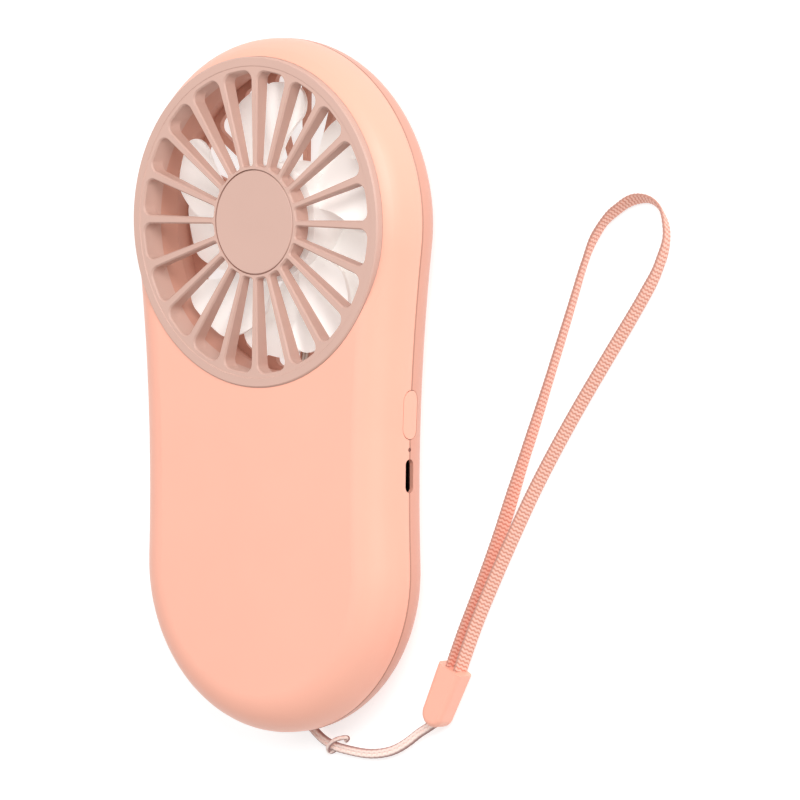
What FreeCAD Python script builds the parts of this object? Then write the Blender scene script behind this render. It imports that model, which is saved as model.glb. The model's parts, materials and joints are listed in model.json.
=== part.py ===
import FreeCAD, Part
import math
import os
import re

import Sketcher

# Pocket fan with a wrist lanyard, in millimetres.  The fan lies on its back: +X is the side with
# the button and the charging socket, +Y points to the head, +Z points out of the front grille,
# and Z = 0 is the flat rear face.

Vector = FreeCAD.Vector

DIMENSIONS = {
    # Casing: two circles joined by hollow sides, split into a front and a rear shell.
    "head_centre": 35.5,
    "head_radius": 39.5,
    "foot_centre": 39.0,
    "foot_radius": 36.0,
    "waist_radius": 400.0,
    "thickness": 18.0,
    "parting": 8.2,
    "wall": 1.6,
    "front_round": 8.35,
    "rear_round": 7.9,
    "parting_chamfer": 0.16,
    # Grilles: a ring in the head's round opening, with ribs to a hub.
    "ring_radius": 35.6,
    "opening_gap": 0.05,
    "ring_top": 18.45,
    "ring_bottom": 0.15,
    "ring_edge": 0.3,
    "ring_face": 33.65,
    "ring_bevel": 1.15,
    "duct_radius": 32.5,
    "duct_wall": 1.4,
    "flare_radius": 34.2,
    "flare_start": 7.5,
    "flare_middle": 33.26,
    "lip_radius": 36.4,
    "lip_thickness": 1.0,
    "front_seat": 13.8,
    "rear_seat": 4.0,
    "seat_width": 1.9,
    "rib_count": 20,
    "rib_top": 18.3,
    "rib_ring_depth": 3.5,
    "rib_hub_depth": 2.3,
    "rib_ring_width": 1.9,
    "rib_hub_width": 1.2,
    "rib_bevel": 0.35,
    "rib_ring_corner": 1.9,
    "rib_hub_corner": 0.7,
    "hub_radius": 12.1,
    "hub_depth": 4.1,
    "cap_radius": 11.15,
    "cap_groove": 0.25,
    "cap_thickness": 0.8,
    "cap_edge": 0.15,
    "spoke_bottom": 0.35,
    "spoke_depth": 1.55,
    "mount_top": 1.6,
    "bar_half_width": 1.5,
    "channel_half_width": 1.0,
    "channel_depth": 0.85,
    "channel_overlap": 0.4,
    # Motor
    "motor_radius": 11.0,
    "motor_top": 8.6,
    "bell_thickness": 0.8,
    "can_wall": 0.6,
    "magnet_thickness": 1.4,
    "armature_radius": 8.6,
    "shaft_radius": 1.0,
    "shaft_play": 0.03,
    "bush_radius": 2.0,
    "bush_length": 1.4,
    "motor_screw_pitch": 7.0,
    "motor_screw_hole": 0.85,
    "motor_screw_radius": 0.8,
    "motor_screw_length": 2.2,
    "motor_screw_head": 1.4,
    "motor_screw_head_height": 0.35,
    "vent_radius": 1.3,
    "vent_pitch": 7.0,
    "coil_slot_radius": 1.9,
    "coil_slot_pitch": 6.0,
    "end_play": 0.4,
    # Impellers
    "blade_count": 5,
    "blade_tip": 30.0,
    "blade_thickness": 0.8,
    "blade_corner": 4.0,
    "cup_radius": 13.0,
    "cup_wall": 1.1,
    "cup_top": 13.2,
    "cup_split": 8.0,
    "cup_bottom": 2.6,
    "cup_roof": 1.3,
    "cup_boss": 2.4,
    "shaft_cover": 0.75,
    "front_blade_low": 8.4,
    "front_blade_high": 13.1,
    "rear_blade_low": 2.9,
    "rear_blade_high": 7.6,
    "front_blade_angle": 89.0,
    "rear_blade_angle": 46.0,
    # Controls on the right side
    "button_centre": 5.1,
    "button_length": 10.4,
    "button_height": 4.5,
    "button_gap": 0.12,
    "button_face": 36.2,
    "button_root": 33.4,
    "button_crown": 0.6,
    "flange_inside": 32.9,
    "flange_thickness": 0.6,
    "flange_margin": 0.7,
    "stem_inside": 31.5,
    "stem_radius": 0.95,
    "opening_inside": 30.0,
    "opening_depth": 8.0,
    "side_slant": 2.45,
    "socket_centre": 18.2,
    "socket_length": 7.2,
    "socket_height": 2.5,
    "socket_inside": 28.4,
    "socket_mouth": 34.7,
    "socket_gap": 0.05,
    "socket_shell_length": 7.5,
    "socket_shell_height": 2.5,
    "socket_shell": 0.3,
    "socket_back": 0.6,
    "tongue_end": 33.7,
    "tongue_length": 3.8,
    "tongue_bottom": 1.2,
    "tongue_thickness": 0.6,
    "led_centre": 12.6,
    "led_radius": 0.45,
    "led_gap": 0.02,
    "led_inside": 30.2,
    "led_depth": 1.0,
    "led_length": 1.6,
    "pipe_length": 4.45,
    "pipe_gap": 0.05,
    "switch_inside": 25.4,
    "switch_depth": 5.0,
    "switch_length": 6.0,
    "switch_height": 2.6,
    "plunger_inside": 27.65,
    "plunger_radius": 0.85,
    "plunger_play": 0.05,
    "plunger_room": 0.65,
    "board_bottom": 6.15,
    "board_thickness": 0.8,
    "board_left": 18.5,
    "board_right": 31.4,
    "board_foot": 30.0,
    "board_head": 1.6,
    "board_screw_inset": 2.5,
    "board_hole": 0.85,
    "post_radius": 2.1,
    "post_hole": 0.8,
    "post_hole_depth": 4.0,
    "board_screw_radius": 0.75,
    "board_screw_length": 4.4,
    "board_screw_head": 1.5,
    "board_screw_head_height": 0.9,
    # Battery
    "battery_width": 34.0,
    "battery_length": 40.0,
    "battery_height": 8.0,
    "battery_centre": 41.2,
    "foam_height": 1.4,
    "battery_corner": 2.5,
    "wire_radius": 0.38,
    # Screws that hold the shells together
    "foot_screw_x": 20.5,
    "foot_screw_y": 60.5,
    "waist_screw_x": 29.5,
    "waist_screw_y": 5.5,
    "screw_radius": 0.95,
    "screw_hole": 1.0,
    "screw_head": 1.9,
    "screw_recess": 2.1,
    "screw_sink": 2.4,
    "screw_length": 9.5,
    "screw_head_height": 1.3,
    "drive_length": 1.2,
    "drive_width": 0.22,
    "drive_depth": 0.7,
    "boss_radius": 3.1,
    # Lanyard eye at the foot
    "eye_half_width": 3.6,
    "eye_inner": 66.8,
    "eye_height": 5.6,
    "pin_radius": 0.75,
    "pin_y": 71.0,
    "pin_z": 3.3,
    "pin_seat": 1.1,
    "pin_play": 0.05,
    # Lanyard
    "cord_diameter": 2.1,
    "strap_width": 4.0,
    "strap_thickness": 0.8,
    "clasp_width": 6.9,
    "clasp_height": 4.9,
    "clasp_round": 1.3,
    "clasp_foot_depth": 3.2,
    "clasp_taper": 0.4,
}

doc = FreeCAD.newDocument("HandheldFan")
sheet = doc.addObject("Spreadsheet::Sheet", "Sizes")
for row, (alias, number) in enumerate(DIMENSIONS.items(), start=1):
    sheet.set(f"A{row}", alias)
    sheet.set(f"B{row}", str(number))
    sheet.setAlias(f"B{row}", alias)
doc.recompute()

nodes = []


# ---------------------------------------------------------------- helpers

def formula(text):
    """Write the sheet's name before each alias in a formula."""
    def prefix(word):
        return "Sizes." + word[0] if word[0] in DIMENSIONS else word[0]
    return re.sub(r"[a-z_]+", prefix, str(text))


def measure(text):
    """The present value of a formula."""
    return float(sheet.evalExpression(formula(text)))


def bind(thing, **formulas):
    """Bind properties of a document object to formulas."""
    for name, text in formulas.items():
        thing.setExpression(name, formula(text))
    return thing


def place(thing, x=0, y=0, z=0, rotation=None):
    """Put an object at a point given by formulas."""
    if rotation is not None:
        thing.Placement = FreeCAD.Placement(Vector(), rotation)
    for axis, text in zip("xyz", (x, y, z)):
        thing.setExpression("Placement.Base." + axis, formula(text))
    return thing


ALONG_X = FreeCAD.Rotation(Vector(0, 1, 0), 90)


def cylinder(name, radius, height, x=0, y=0, z=0, rotation=None):
    thing = bind(doc.addObject("Part::Cylinder", name), Radius=radius, Height=height)
    return place(thing, x, y, z, rotation)


def box(name, low, high):
    """A block between two corners, each given as three formulas."""
    thing = doc.addObject("Part::Box", name)
    for side, start, end in zip(("Length", "Width", "Height"), low, high):
        thing.setExpression(side, formula(f"({end}) - ({start})"))
    return place(thing, *low)


def fuse(name, *pieces):
    thing = doc.addObject("Part::MultiFuse", name)
    thing.Shapes = list(pieces)
    return thing


def cut(name, base, *tools):
    thing = doc.addObject("Part::Cut", name)
    thing.Base = base
    thing.Tool = tools[0] if len(tools) == 1 else fuse(name + "_tools", *tools)
    return thing


def common(name, first, second):
    thing = doc.addObject("Part::Common", name)
    thing.Base = first
    thing.Tool = second
    return thing


def obround(name, length, height, depth, x, y, z):
    """A slot-shaped block along X: long in Y, with half-round ends."""
    reach = f"(({length}) - ({height})) / 2"
    middle = box(
        name + "_middle",
        (x, f"{y} - {reach}", f"{z} - ({height}) / 2"),
        (f"{x} + {depth}", f"{y} + {reach}", f"{z} + ({height}) / 2"),
    )
    ends = [
        cylinder(name + end, f"({height}) / 2", depth, x, f"{y} {sign} {reach}", z, ALONG_X)
        for end, sign in (("_foot", "-"), ("_head", "+"))
    ]
    return fuse(name, middle, *ends)


def node(label, thing):
    """Register a finished piece under the name that it is written with."""
    thing.Label = label
    nodes.append(thing)
    return thing


def new_body(name):
    body = doc.addObject("PartDesign::Body", name)
    body.AllowCompound = True
    return body


def origin_feature(body, role):
    return next(part for part in body.Origin.OriginFeatures if part.Role == role)


def new_sketch(body, name, plane="XY_Plane", height=0):
    sketch = body.newObject("Sketcher::SketchObject", name)
    sketch.AttachmentSupport = [(origin_feature(body, plane), "")]
    sketch.MapMode = "FlatFace"
    sketch.setExpression("AttachmentOffset.Base.z", formula(height))
    return sketch


def constrain(sketch, kind, *references, value=None):
    """Add a constraint, bound to a formula when it has a value."""
    if value is None:
        return sketch.addConstraint(Sketcher.Constraint(kind, *references))
    index = sketch.addConstraint(Sketcher.Constraint(kind, *references, measure(value)))
    sketch.setExpression(f"Constraints[{index}]", formula(value))
    return index


def polygon(sketch, corners):
    """A closed outline whose corners are pairs of formulas, none of them negative."""
    points = [Vector(measure(x), measure(y), 0) for x, y in corners]
    count = len(points)
    for index in range(count):
        sketch.addGeometry(Part.LineSegment(points[index], points[(index + 1) % count]))
    for index in range(count):
        constrain(sketch, "Coincident", index, 2, (index + 1) % count, 1)
    for index, (x, y) in enumerate(corners):
        for kind, axis, text in (("DistanceX", -2, x), ("DistanceY", -1, y)):
            if measure(text) == 0:
                constrain(sketch, "PointOnObject", index, 1, axis)
            else:
                constrain(sketch, kind, -1, 1, index, 1, value=text)


def pad(body, name, sketch, length):
    feature = body.newObject("PartDesign::Pad", name)
    feature.Profile = sketch
    return bind(feature, Length=length)


def revolve(body, name, sketch):
    feature = body.newObject("PartDesign::Revolution", name)
    feature.Profile = sketch
    feature.ReferenceAxis = (sketch, ["V_Axis"])
    feature.Angle = 360
    return feature


def dress(body, kind, name, base, picks, **formulas):
    """Round or bevel the edges of base that picks accepts."""
    doc.recompute()
    edges = [f"Edge{i}" for i, edge in enumerate(base.Shape.Edges, start=1) if picks(edge)]
    feature = body.newObject("PartDesign::" + kind, name)
    feature.Base = (base, edges)
    return bind(feature, **formulas)


def at_height(text):
    """Picks the edges that lie flat at a height."""
    level = measure(text)
    return lambda edge: abs(edge.BoundBox.ZMin - level) + abs(edge.BoundBox.ZMax - level) < 1e-3


def upright(edge):
    return edge.BoundBox.ZLength > 0.5 and edge.BoundBox.XLength + edge.BoundBox.YLength < 1e-3


def spin(body, name, occurrences, base):
    """Repeat the whole body round its Z axis."""
    feature = body.newObject("PartDesign::PolarPattern", name)
    feature.TransformMode = "Whole shape"
    feature.Axis = (origin_feature(body, "Z_Axis"), "")
    feature.Angle = 360
    bind(feature, Occurrences=occurrences)
    body.Tip = feature
    return feature


# ---------------------------------------------------------------- casing

def outline(sketch, inset):
    """The casing's outline, moved inwards: two circles joined by large hollow arcs."""
    head, foot = measure("head_centre"), -measure("foot_centre")
    head_r = measure(f"head_radius - {inset}")
    foot_r = measure(f"foot_radius - {inset}")
    side_r = measure(f"waist_radius + {inset}")
    gap = head - foot
    rise = ((side_r + foot_r) ** 2 - (side_r + head_r) ** 2 + gap**2) / (2 * gap)
    side_x = math.sqrt((side_r + foot_r) ** 2 - rise**2)
    upper = math.atan2(gap - rise, side_x)
    lower = math.atan2(rise, side_x)

    def arc(x, y, radius, start, end):
        circle = Part.Circle(Vector(x, y, 0), Vector(0, 0, 1), radius)
        return sketch.addGeometry(Part.ArcOfCircle(circle, start, end))

    top = arc(0, head, head_r, -upper, math.pi + upper)
    left = arc(-side_x, foot + rise, side_r, -lower, upper)
    bottom = arc(0, foot, foot_r, math.pi + lower, 2 * math.pi - lower)
    right = arc(side_x, foot + rise, side_r, math.pi - upper, math.pi + lower)
    constrain(sketch, "PointOnObject", top, 3, -2)
    constrain(sketch, "PointOnObject", bottom, 3, -2)
    constrain(sketch, "DistanceY", -1, 1, top, 3, value="head_centre")
    constrain(sketch, "DistanceY", bottom, 3, -1, 1, value="foot_centre")
    constrain(sketch, "Radius", top, value=f"head_radius - {inset}")
    constrain(sketch, "Radius", bottom, value=f"foot_radius - {inset}")
    constrain(sketch, "Radius", left, value=f"waist_radius + {inset}")
    constrain(sketch, "Equal", left, right)
    constrain(sketch, "Tangent", top, 2, left, 2)
    constrain(sketch, "Tangent", left, 1, bottom, 1)
    constrain(sketch, "Tangent", bottom, 2, right, 2)
    constrain(sketch, "Tangent", right, 1, top, 1)


def half_casing(name, inset, low, high, rounded, radius, bevelled=None):
    """One half of the casing as a full block, rounded at its outer face."""
    body = new_body(name)
    sketch = new_sketch(body, name + "_outline", height=low)
    outline(sketch, inset)
    block = pad(body, name + "_block", sketch, f"({high}) - ({low})")
    last = dress(body, "Fillet", name + "_round", block, at_height(rounded), Radius=radius)
    if bevelled:
        dress(body, "Chamfer", name + "_bevel", last, at_height(bevelled), Size="parting_chamfer")
    return body


SCREW_PLACES = [
    ("foot_left", "-foot_screw_x", "-foot_screw_y"),
    ("foot_right", "foot_screw_x", "-foot_screw_y"),
    ("waist_left", "-waist_screw_x", "waist_screw_y"),
    ("waist_right", "waist_screw_x", "waist_screw_y"),
]
BOARD_SCREW_PLACES = [
    ("low", "board_left + board_screw_inset", "-board_foot + board_screw_inset"),
    ("high", "board_left + board_screw_inset", "board_head - board_screw_inset"),
]


def ring(name, outer, inner, low, high):
    """A ring round the rotor axis."""
    solid = cylinder(name + "_outer", outer, f"({high}) - ({low})", 0, "head_centre", low)
    hole = cylinder(name + "_inner", inner, f"({high}) - ({low}) + 2", 0, "head_centre", f"({low}) - 1")
    return cut(name, solid, hole)


def side_openings():
    """Cutters for the button, the lamp and the charging socket, which sits in a deeper recess."""
    button = obround(
        "button_opening", "button_length + 2 * button_gap", "button_height + 2 * button_gap",
        "opening_depth", "opening_inside", "-button_centre", "parting",
    )
    socket = obround(
        "socket_opening", "socket_length", "socket_height", "opening_depth", "opening_inside",
        "-socket_centre", "parting",
    )
    lamp = cylinder(
        "lamp_opening", "led_radius + led_gap", "opening_depth", "opening_inside", "-led_centre",
        "parting", ALONG_X,
    )
    socket_half = "(socket_shell_length / 2 + socket_gap)"
    recess = box(
        "socket_recess",
        (
            "opening_inside", f"-socket_centre - {socket_half}",
            "board_bottom + board_thickness - socket_gap",
        ),
        (
            "socket_mouth + socket_gap", f"-socket_centre + {socket_half}",
            "board_bottom + board_thickness + socket_shell_height + socket_gap",
        ),
    )
    return [button, socket, lamp, recess]


def make_front_shell(openings):
    blank = half_casing(
        "front_blank", "0", "parting", "thickness", "thickness", "front_round", "parting",
    )
    hollow = half_casing(
        "front_hollow", "wall", "parting", "thickness - wall", "thickness - wall", "front_round - wall",
    )
    bosses = [
        cylinder("front_boss_" + name, "boss_radius - 0.5", "thickness - parting", x, y, "parting")
        for name, x, y in SCREW_PLACES
    ]
    seat = ring(
        "front_seat_ring", "ring_radius + seat_width", "ring_radius + opening_gap",
        "front_seat", "thickness",
    )
    stiffening = common("front_stiffening", blank, fuse("front_bosses", seat, *bosses))
    pilots = [
        cylinder("front_pilot_" + name, "screw_hole", "screw_length - 2", x, y, "parting - 1")
        for name, x, y in SCREW_PLACES
    ]
    opening = cylinder(
        "front_opening", "ring_radius + opening_gap", 20, 0, "head_centre", "parting - 1",
    )
    walls = fuse("front_walls", cut("front_skin", blank, hollow), stiffening)
    node("front_shell", cut("front_shell", walls, opening, *pilots, *openings))


def make_rear_shell(openings):
    blank = half_casing("rear_blank", "0", "0", "parting", "0", "rear_round", "parting")
    hollow = half_casing("rear_hollow", "wall", "wall", "parting", "wall", "rear_round - wall")
    bosses = [
        cylinder("rear_boss_" + name, "boss_radius", "parting", x, y) for name, x, y in SCREW_PLACES
    ]
    posts = [
        cylinder("board_post_" + name, "post_radius", "board_bottom", x, y)
        for name, x, y in BOARD_SCREW_PLACES
    ]
    seat = ring(
        "rear_seat_ring", "ring_radius + seat_width", "ring_radius + opening_gap", 0, "rear_seat",
    )
    eye_walls = box(
        "eye_walls",
        ("-eye_half_width - wall", "-foot_centre - foot_radius", 0),
        ("eye_half_width + wall", "-eye_inner + wall", "eye_height + wall"),
    )
    stiffening = common(
        "rear_stiffening", blank, fuse("rear_bosses", seat, eye_walls, *bosses, *posts),
    )
    holes = [
        cylinder("rear_hole_" + name, "screw_hole", "parting + 2", x, y, -1)
        for name, x, y in SCREW_PLACES
    ]
    recesses = [
        cylinder("rear_recess_" + name, "screw_recess", "screw_sink + 1", x, y, -1)
        for name, x, y in SCREW_PLACES
    ]
    post_holes = [
        cylinder(
            "post_hole_" + name, "post_hole", "post_hole_depth + 1", x, y,
            "board_bottom - post_hole_depth",
        )
        for name, x, y in BOARD_SCREW_PLACES
    ]
    opening = cylinder("rear_opening", "ring_radius + opening_gap", 20, 0, "head_centre", -1)
    eye = box(
        "eye_pocket",
        ("-eye_half_width", "-foot_centre - foot_radius - 3", -1),
        ("eye_half_width", "-eye_inner", "eye_height"),
    )
    pin_hole = cylinder(
        "pin_hole", "pin_radius", "2 * (eye_half_width + pin_seat)", "-eye_half_width - pin_seat",
        "-pin_y", "pin_z", ALONG_X,
    )
    wire_notch = box(
        "wire_notch",
        (-1.4, "head_centre - ring_radius - seat_width - 0.5", "wall"),
        (2.6, "head_centre - ring_radius + 0.5", "rear_seat + 0.5"),
    )
    walls = fuse("rear_walls", cut("rear_skin", blank, hollow), stiffening)
    node(
        "rear_shell",
        cut(
            "rear_shell", walls, opening, eye, pin_hole, wire_notch,
            *holes, *recesses, *post_holes, *openings,
        ),
    )
    node(
        "lanyard_pin",
        cylinder(
            "lanyard_pin", "pin_radius", "2 * (eye_half_width + pin_seat - pin_play)",
            "-eye_half_width - pin_seat + pin_play", "-pin_y", "pin_z", ALONG_X,
        ),
    )


def make_case_screws():
    """Four self-tapping screws, put in from the rear."""
    screws = []
    for name, x, y in SCREW_PLACES:
        head = cylinder(
            "screw_head_" + name, "screw_head", "screw_head_height", x, y,
            "screw_sink - screw_head_height",
        )
        shank = cylinder("screw_shank_" + name, "screw_radius", "screw_length", x, y, "screw_sink")
        drive = [
            box(
                f"screw_drive_{name}_{turn}",
                (f"{x} - {long}", f"{y} - {wide}", "screw_sink - screw_head_height - 0.1"),
                (f"{x} + {long}", f"{y} + {wide}", "screw_sink - screw_head_height + drive_depth"),
            )
            for turn, (long, wide) in enumerate((
                ("drive_length", "drive_width"), ("drive_width", "drive_length"),
            ))
        ]
        screws.append(cut("screw_" + name, fuse("screw_body_" + name, head, shank), *drive))
    node("case_screws", fuse("case_screws", *screws))


# ---------------------------------------------------------------- grilles

def rib_openings(name, low, high, bevel_up):
    """The openings between the ribs, as cutters, bevelled where they meet the ribs' outer face."""
    body = new_body(name)
    place(body, 0, "head_centre", 0, FreeCAD.Rotation(Vector(0, 0, 1), 180 / measure("rib_count")))
    straight_low = low if bevel_up else f"({low}) + rib_bevel"
    straight_high = f"({high}) - rib_bevel" if bevel_up else high
    sketch = new_sketch(body, name + "_sketch", height=straight_low)
    half_pitch = "(180 deg / rib_count)"

    def corner(radius, width):
        along = f"sqrt(({radius})^2 - ({width})^2 / 4)"
        x = f"{along} * cos{half_pitch} + ({width}) / 2 * sin{half_pitch}"
        y = f"{along} * sin{half_pitch} - ({width}) / 2 * cos{half_pitch}"
        return x, y

    inner_x, inner_y = corner("hub_radius", "rib_hub_width")
    outer_x, outer_y = corner("duct_radius", "rib_ring_width")
    inner = Vector(measure(inner_x), measure(inner_y), 0)
    outer = Vector(measure(outer_x), measure(outer_y), 0)
    axis = Vector(0, 0, 1)
    upper = sketch.addGeometry(Part.LineSegment(inner, outer))
    lower = sketch.addGeometry(
        Part.LineSegment(Vector(inner.x, -inner.y, 0), Vector(outer.x, -outer.y, 0))
    )
    outer_angle = math.atan2(outer.y, outer.x)
    inner_angle = math.atan2(inner.y, inner.x)
    rim = Part.Circle(Vector(), axis, outer.Length)
    hub = Part.Circle(Vector(), axis, inner.Length)
    rim_arc = sketch.addGeometry(Part.ArcOfCircle(rim, -outer_angle, outer_angle))
    hub_arc = sketch.addGeometry(Part.ArcOfCircle(hub, -inner_angle, inner_angle))
    constrain(sketch, "Coincident", rim_arc, 3, -1, 1)
    constrain(sketch, "Coincident", hub_arc, 3, -1, 1)
    constrain(sketch, "Coincident", upper, 2, rim_arc, 2)
    constrain(sketch, "Coincident", upper, 1, hub_arc, 2)
    constrain(sketch, "Coincident", lower, 2, rim_arc, 1)
    constrain(sketch, "Coincident", lower, 1, hub_arc, 1)
    constrain(sketch, "Vertical", upper, 1, lower, 1)
    constrain(sketch, "Vertical", upper, 2, lower, 2)
    constrain(sketch, "Radius", rim_arc, value="duct_radius")
    constrain(sketch, "Radius", hub_arc, value="hub_radius")
    constrain(sketch, "DistanceY", -1, 1, upper, 1, value=inner_y)
    constrain(sketch, "DistanceY", -1, 1, upper, 2, value=outer_y)

    block = pad(body, name + "_block", sketch, f"({straight_high}) - ({straight_low})")
    split = (measure("hub_radius") + measure("duct_radius")) / 2

    def at_rim(edge):
        return upright(edge) and math.hypot(*edge.CenterOfMass[:2]) > split

    def at_hub(edge):
        return upright(edge) and not at_rim(edge)

    rim_round = dress(body, "Fillet", name + "_rim_round", block, at_rim, Radius="rib_ring_corner")
    hub_round = dress(body, "Fillet", name + "_hub_round", rim_round, at_hub, Radius="rib_hub_corner")
    doc.recompute()
    level = measure(straight_high if bevel_up else straight_low)
    mouth = [
        f"Face{i}" for i, face in enumerate(hub_round.Shape.Faces, start=1)
        if face.BoundBox.ZLength < 1e-6 and abs(face.CenterOfMass.z - level) < 1e-6
    ]
    bevel = body.newObject("PartDesign::Pad", name + "_bevel")
    bevel.Profile = (hub_round, mouth)
    bevel.TaperAngle = 40
    bind(bevel, Length="rib_bevel + 0.02")
    spin(body, name + "_ring", "rib_count", bevel)
    return body


def make_front_grille():
    """Ring, duct wall, ribs and hub of the front grille, one moulding."""
    body = new_body("front_grille_blank")
    place(body, 0, "head_centre", 0)
    sketch = new_sketch(body, "front_grille_profile", "XZ_Plane")
    polygon(sketch, [
        (0, "rib_top - cap_thickness"),
        ("cap_radius + cap_groove", "rib_top - cap_thickness"),
        ("cap_radius + cap_groove", "rib_top"),
        ("duct_radius + ring_bevel - (ring_top - rib_top)", "rib_top"),
        ("ring_face", "ring_top"),
        ("ring_radius - ring_edge", "ring_top"),
        ("ring_radius", "ring_top - ring_edge"),
        ("ring_radius", "front_seat"),
        ("lip_radius", "front_seat"),
        ("lip_radius", "front_seat - lip_thickness"),
        ("duct_radius", "front_seat - lip_thickness"),
        ("duct_radius", "rib_top - rib_ring_depth"),
        ("hub_radius", "rib_top - rib_hub_depth"),
        ("hub_radius", "rib_top - hub_depth"),
        (0, "rib_top - hub_depth"),
    ])
    revolve(body, "front_grille_turned", sketch)
    openings = rib_openings("front_rib_openings", 12, "rib_top", True)
    node("front_grille", cut("front_grille", body, openings))
    cap_body = new_body("hub_cap")
    place(cap_body, 0, "head_centre", 0)
    cap_sketch = new_sketch(cap_body, "hub_cap_profile", "XZ_Plane")
    polygon(cap_sketch, [
        (0, "rib_top - cap_thickness"),
        ("cap_radius", "rib_top - cap_thickness"),
        ("cap_radius", "rib_top - cap_edge"),
        ("cap_radius - cap_edge", "rib_top"),
        (0, "rib_top"),
    ])
    revolve(cap_body, "hub_cap_turned", cap_sketch)
    node("hub_cap", cap_body)


def make_rear_grille():
    """Ring, flared duct, spokes and motor plate at the rear, with a channel for the motor's wires."""
    body = new_body("rear_grille_blank")
    place(body, 0, "head_centre", 0)
    sketch = new_sketch(body, "rear_grille_profile", "XZ_Plane")
    polygon(sketch, [
        (0, "spoke_bottom"),
        ("flare_radius", "spoke_bottom"),
        ("flare_radius", "ring_bottom"),
        ("ring_radius - ring_edge", "ring_bottom"),
        ("ring_radius", "ring_bottom + ring_edge"),
        ("ring_radius", "rear_seat"),
        ("lip_radius", "rear_seat"),
        ("lip_radius", "rear_seat + lip_thickness"),
        ("flare_middle", "rear_seat + lip_thickness"),
        ("flare_radius", "spoke_bottom + spoke_depth"),
        ("hub_radius", "spoke_bottom + spoke_depth"),
        ("hub_radius", "mount_top"),
        (0, "mount_top"),
    ])
    revolve(body, "rear_grille_turned", sketch)
    openings = rib_openings("rear_rib_openings", "spoke_bottom", 3, False)
    ribs = cut("rear_ribs", body, openings)
    channel_bar = box(
        "channel_bar",
        ("-bar_half_width", "head_centre - duct_radius - 1", "spoke_bottom"),
        ("bar_half_width", "head_centre - hub_radius + 0.5", "spoke_bottom + spoke_depth"),
    )
    channel = box(
        "wire_channel",
        (
            "-channel_half_width", "head_centre - ring_radius - 3",
            "spoke_bottom + spoke_depth - channel_depth",
        ),
        (
            "channel_half_width", "head_centre - motor_radius - opening_gap",
            "rear_seat + lip_thickness + channel_overlap",
        ),
    )
    screw_holes = [
        cylinder(
            f"plate_hole_{sign}", "motor_screw_hole", 4, f"{sign} * motor_screw_pitch",
            "head_centre", -1,
        )
        for sign in (-1, 1)
    ]
    node(
        "rear_grille",
        cut("rear_grille", fuse("rear_spokes", ribs, channel_bar), channel, *screw_holes),
    )


def make_duct_sleeve():
    """The tube round the impellers, between the two grilles, flared towards the rear."""
    body = new_body("sleeve_tube")
    place(body, 0, "head_centre", 0)
    sketch = new_sketch(body, "duct_sleeve_profile", "XZ_Plane")
    polygon(sketch, [
        ("flare_middle", "rear_seat + lip_thickness"),
        ("duct_radius + duct_wall", "rear_seat + lip_thickness"),
        ("duct_radius + duct_wall", "front_seat - lip_thickness"),
        ("duct_radius", "front_seat - lip_thickness"),
        ("duct_radius", "flare_start"),
    ])
    revolve(body, "duct_sleeve_turned", sketch)
    notch = box(
        "sleeve_notch",
        ("-channel_half_width", "head_centre - ring_radius - 3", "rear_seat"),
        (
            "channel_half_width", "head_centre - duct_radius + 2",
            "rear_seat + lip_thickness + channel_overlap",
        ),
    )
    node("duct_sleeve", cut("duct_sleeve_notched", body, notch))


# ---------------------------------------------------------------- motor

def make_motor():
    bell = cylinder("bell_disc", "motor_radius", "bell_thickness", 0, "head_centre", "mount_top")
    bell_holes = [
        cylinder(
            f"bell_hole_{sign}", "motor_screw_hole", 4, f"{sign} * motor_screw_pitch",
            "head_centre", 0,
        )
        for sign in (-1, 1)
    ]
    bell_bush_hole = cylinder("bell_bush_hole", "bush_radius", 4, 0, "head_centre", 0)
    node("motor_end_bell", cut("motor_end_bell", bell, bell_bush_hole, *bell_holes))

    can = cylinder(
        "can_outside", "motor_radius", "motor_top - mount_top - bell_thickness", 0, "head_centre",
        "mount_top + bell_thickness",
    )
    can_hollow = cylinder(
        "can_hollow", "motor_radius - can_wall", "motor_top - mount_top - bell_thickness - can_wall",
        0, "head_centre", "mount_top + bell_thickness",
    )
    can_bush_hole = cylinder("can_bush_hole", "bush_radius", 9, 0, "head_centre", "mount_top")
    vents = [
        cylinder(
            f"can_vent_{turn}", "vent_radius", 3,
            f"vent_pitch * cos({turn} * 90 deg + 45 deg)",
            f"head_centre + vent_pitch * sin({turn} * 90 deg + 45 deg)",
            "motor_top - 1.5",
        )
        for turn in range(4)
    ]
    node("motor_can", cut("motor_can", can, can_hollow, can_bush_hole, *vents))

    inside_top = "motor_top - can_wall - end_play"
    node(
        "motor_magnets",
        ring(
            "motor_magnets", "motor_radius - can_wall", "motor_radius - can_wall - magnet_thickness",
            "mount_top + bell_thickness + 0.3", inside_top,
        ),
    )
    bushes = [
        ring(name, "bush_radius", "shaft_radius + shaft_play", low, f"{low} + bush_length")
        for name, low in (("rear_bush", "mount_top"), ("front_bush", inside_top))
    ]
    node("motor_bushes", fuse("motor_bushes", *bushes))
    screws = []
    for sign in (-1, 1):
        x = f"{sign} * motor_screw_pitch"
        head = cylinder(
            f"plate_screw_head_{sign}", "motor_screw_head", "motor_screw_head_height", x,
            "head_centre", "spoke_bottom - motor_screw_head_height",
        )
        shank = cylinder(
            f"plate_screw_shank_{sign}", "motor_screw_radius", "motor_screw_length", x,
            "head_centre", "spoke_bottom",
        )
        screws.append(fuse(f"motor_screw_{sign}", head, shank))
    node("motor_screws", fuse("motor_screws", *screws))


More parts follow.
